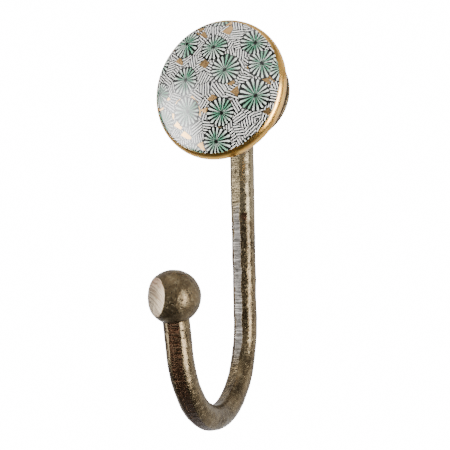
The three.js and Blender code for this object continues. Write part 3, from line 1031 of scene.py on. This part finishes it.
# ---- Collar and cushion ----
def neck_collar():
    """A waisted ring, hollow behind to clear the nut."""
    back, front = outs("neck_collar")
    outer = radius_of("neck_collar")
    inner = 5.32 * MM
    web = 2.4 * MM
    waist = 1.3 * MM
    lip = 0.3 * MM
    middle, half = (back + front) / 2, (front - back) / 3
    cove_radius = (half**2 + waist**2) / (2 * waist)
    reach = math.degrees(math.asin(half / cove_radius))
    bore = STUD_RADIUS + LOOSE_PLAY
    profile = [(inner, back), (outer - lip, back), (outer, back + lip)]
    profile += arc(outer - waist + cove_radius, middle, cove_radius, 180 + reach, 180 - reach, 20)
    profile += [(outer, front - lip), (outer - lip, front)]
    profile += [(bore, front), (bore, front - web), (inner, front - web)]
    collar = turn_on_lathe("neck_collar_turned", profile, 128, ring=True)
    soften(collar, 0.12 * MM, 3)
    smooth(collar)
    metal = antique_metal("collar_metal")
    return finish_piece(collar, "neck_collar", "collar", "antique_metal", metal)


def cushion_washer():
    """A flat ring with a round edge."""
    back, front = outs("cushion_washer")
    outer = radius_of("cushion_washer")
    half = (front - back) / 2
    bore = STUD_RADIUS + LOOSE_PLAY
    profile = [(bore, back)]
    profile += arc(outer - half, back + half, half, -90, 90, 12)
    profile += [(bore, front)]
    cushion = turn_on_lathe("rubber_cushion", profile, 96, ring=True)
    soften(cushion, 0.1 * MM)
    smooth(cushion)
    return finish_piece(cushion, "cushion_washer", "collar", "black_rubber", rubber())


# ---- The disc ----
def disc_profile():
    """From the foot round the rim to the middle of the dome. The arcs meet smoothly."""
    rim_centre = DISC_RADIUS - RIM_FRONT_RADIUS
    dome_radius = (rim_centre**2 + CROWN**2 - RIM_FRONT_RADIUS**2) / (
        2 * (CROWN - RIM_FRONT_RADIUS)
    )
    dome_out = DISC_TOP_OUT - dome_radius
    meet = math.degrees(math.atan2(DISC_WIDEST_OUT - dome_out, rim_centre))
    back_centre = DISC_RADIUS - RIM_BACK_RADIUS
    front = arc(rim_centre, DISC_WIDEST_OUT, RIM_FRONT_RADIUS, 0, meet, 20)
    front += arc(0, dome_out, dome_radius, meet, 89.7, 40)[1:]
    back = arc(back_centre, DISC_WIDEST_OUT, RIM_BACK_RADIUS, -90, 0, 12)[:-1]
    back_out = DISC_FOOT_OUT + FOOT_HEIGHT
    edge = 0.4 * MM
    foot = [
        (DISC_BORE_RADIUS, DISC_FOOT_OUT + DISC_BORE_DEPTH),
        (DISC_BORE_RADIUS, DISC_FOOT_OUT),
        (FOOT_RADIUS - edge, DISC_FOOT_OUT),
        (FOOT_RADIUS, DISC_FOOT_OUT + edge),
        (FOOT_RADIUS + FOOT_HEIGHT / 3, back_out),
    ]
    return foot, back, front


def lay_print(disc, front):
    """Lays the print on the dome by its distance from the middle, along the surface."""
    lengths = [0.0]
    for (r0, w0), (r1, w1) in zip(front[::-1], front[-2::-1]):
        lengths.append(lengths[-1] + math.hypot(r1 - r0, w1 - w0))
    radii = [point[0] for point in front[::-1]]

    def surface_length(radius):
        for i in range(1, len(radii)):
            if radius <= radii[i]:
                share = (radius - radii[i - 1]) / (radii[i] - radii[i - 1])
                return lengths[i - 1] + max(share, 0) * (lengths[i] - lengths[i - 1])
        return lengths[-1]

    spots = []
    for vertex in disc.data.vertices:
        radius = math.hypot(vertex.co.x, vertex.co.z)
        scale = surface_length(radius) / radius if radius > 1e-6 else 1.0
        spots.append((vertex.co.x * scale, vertex.co.z * scale))
    layer = disc.data.uv_layers.new(name="print")
    for loop in disc.data.loops:
        layer.data[loop.index].uv = spots[loop.vertex_index]


def ceramic_disc():
    foot, back, front = disc_profile()
    disc = turn_on_lathe("domed_disc", foot + back + front, 192)
    lay_print(disc, front)
    smooth(disc, 40)
    return finish_piece(disc, "ceramic_disc", "disc", "patterned_ceramic", printed_glaze())


def threaded_insert():
    """A flanged brass insert, grooved where the cement grips it."""
    back, front = outs("threaded_insert")
    flange = radius_of("threaded_insert")
    flange_front = back + 1.4 * MM
    bore_end = front - 1.2 * MM
    groove = 0.3 * MM
    lead = 0.4 * MM
    profile = [
        (INSERT_BORE_RADIUS * 0.9, bore_end),
        (INSERT_BORE_RADIUS, bore_end - groove),
        (INSERT_BORE_RADIUS, back + lead),
        (INSERT_BORE_RADIUS + lead, back),
        (flange, back),
        (flange, flange_front),
        (INSERT_RADIUS, flange_front),
    ]
    grooves = 4
    step = (front - flange_front) / (grooves + 1)
    for i in range(1, grooves + 1):
        groove_out = flange_front + i * step
        profile += [
            (INSERT_RADIUS, groove_out - groove),
            (INSERT_RADIUS - groove, groove_out),
            (INSERT_RADIUS, groove_out + groove),
        ]
    profile += [(INSERT_RADIUS, front), (INSERT_RADIUS * 0.5, front)]
    insert = turn_on_lathe("brass_insert", profile, 96)
    soften(insert, 0.1 * MM)
    smooth(insert)
    brass = turned_metal("turned_brass", tint(0.80, 0.60, 0.30), tint(0.60, 0.42, 0.20), 0.26)
    return finish_piece(insert, "threaded_insert", "disc", "turned_brass", brass)


def cement_bed():
    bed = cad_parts["cement_bed"]
    bed.data.materials.clear()
    bed.data.materials.append(cement())


# ---- Studio ----
def camera():
    azimuth, elevation = CAMERA_AZIMUTH, CAMERA_ELEVATION
    back = Vector(
        (
            math.sin(azimuth) * math.cos(elevation),
            -math.cos(azimuth) * math.cos(elevation),
            math.sin(elevation),
        )
    )
    right = Vector((math.cos(azimuth), math.sin(azimuth), 0))
    up = back.cross(right)
    tilt = Matrix.Rotation(CAMERA_ROLL, 3, back)
    right, up = tilt @ right, tilt @ up
    data = bpy.data.cameras.new("camera")
    data.lens = LENS
    data.clip_start = 0.01
    made = bpy.data.objects.new("camera", data)
    turn = Matrix((right, up, back)).transposed().to_4x4()
    place = CAMERA_AIM + back * CAMERA_DISTANCE - right * CAMERA_SLIDE
    made.matrix_world = Matrix.Translation(place) @ turn
    bpy.context.scene.collection.objects.link(made)
    bpy.context.scene.camera = made


def soft_box(name, azimuth, elevation, distance, width, height, strength, edge=0.5, seen=True):
    """A large soft lamp. Edge is the share of it that is fully bright before it fades out.
    Azimuth 0 is straight out from the wall. An unseen lamp isn't mirrored in the metal."""
    a, e = math.radians(azimuth), math.radians(elevation)
    direction = Vector((math.sin(a) * math.cos(e), -math.cos(a) * math.cos(e), math.sin(e)))
    let_go()
    bpy.ops.mesh.primitive_plane_add(size=1)
    lamp = bpy.context.object
    lamp.name = name
    lamp.scale = (width, height, 1)
    lamp.location = LAMP_AIM + direction * distance
    lamp.rotation_mode = "QUATERNION"
    lamp.rotation_quaternion = direction.to_track_quat("Z", "Y")
    recipe = Recipe(name)
    parts = recipe.add("SeparateXYZ", {0: recipe.place()})
    glow = strength
    for axis in ("X", "Y"):
        reach = recipe.math("ABSOLUTE", parts.outputs[axis])
        glow = recipe.math("MULTIPLY", recipe.step(reach, 0.5 * edge, 0.5, 1.0, 0.0), glow)
    light = recipe.add("Emission", {"Strength": glow})
    output = recipe.tree.nodes["Material Output"]
    recipe.tree.links.new(light.outputs[0], output.inputs["Surface"])
    lamp.data.materials.append(recipe.material)
    lamp.visible_camera = False
    lamp.visible_glossy = seen


def floor():
    let_go()
    bpy.ops.mesh.primitive_circle_add(
        vertices=96,
        radius=FLOOR_RADIUS,
        fill_type="NGON",
        location=(0, 0, cad_low.z - FLOOR_DROP),
    )
    ground = settle(bpy.context.object, "floor")
    recipe = Recipe("pale_floor")
    grain = recipe.cloud(recipe.place(), 0.4, 2.0)
    colour = recipe.blend(grain, tint(0.86, 0.86, 0.85), tint(0.9, 0.9, 0.89))
    made = recipe.finish(
        colour, Roughness=0.9, Emission_Color=tint(1, 1, 1), Emission_Strength=FLOOR_GLOW
    )
    ground.data.materials.append(made)
    ground.visible_glossy = False
    ground.visible_diffuse = False


def room():
    """White where the camera looks; for all else light behind the hook and dim before it."""
    world = bpy.data.worlds.new("room")
    bpy.context.scene.world = world
    world.use_nodes = True
    tree = world.node_tree

    def spread(value, low, high, bottom, top):
        made = tree.nodes.new("ShaderNodeMapRange")
        made.interpolation_type = "SMOOTHSTEP"
        for key, given in enumerate((value, low, high, bottom, top)):
            if isinstance(given, bpy.types.NodeSocket):
                tree.links.new(given, made.inputs[key])
            else:
                made.inputs[key].default_value = given
        return made.outputs[0]

    parts = tree.nodes.new("ShaderNodeSeparateXYZ")
    direction = tree.nodes.new("ShaderNodeTexCoord").outputs["Generated"]
    tree.links.new(direction, parts.inputs[0])
    rising = spread(parts.outputs["Z"], -0.55, 0.0, ROOM_BELOW, ROOM_FRONT)
    rising = spread(parts.outputs["Z"], 0.07, 0.3, rising, ROOM_ABOVE)
    level = spread(parts.outputs["Y"], 0.0, 0.7, rising, ROOM_BEHIND)
    camera_ray = tree.nodes.new("ShaderNodeLightPath").outputs["Is Camera Ray"]
    level = spread(camera_ray, 0.0, 1.0, level, ROOM_WHITE)
    background = tree.nodes["Background"]
    background.inputs["Color"].default_value = tint(1, 1, 1)
    tree.links.new(level, background.inputs["Strength"])


def studio():
    camera()
    floor()
    room()
    soft_box("left_box", -54, 0, 0.7, width=0.66, height=0.85, strength=11.0, edge=0.3)
    soft_box("right_box", 74, -12, 0.7, width=0.26, height=0.78, strength=21.0)
    soft_box("top_box", 10, 75, 0.9, width=1.6, height=1.2, strength=1.4, edge=0.2)
    soft_box("side_box", 128, 0, 0.8, width=0.7, height=0.9, strength=1.5)
    soft_box("fill_box", 20, 15, 0.8, width=0.8, height=0.6, strength=6.5, seen=False)


studio()
wall_plate()
forged_bar()
ball_end()
threaded_stud()
lock_washer()
lock_nut()
neck_collar()
cushion_washer()
ceramic_disc()
threaded_insert()
cement_bed()
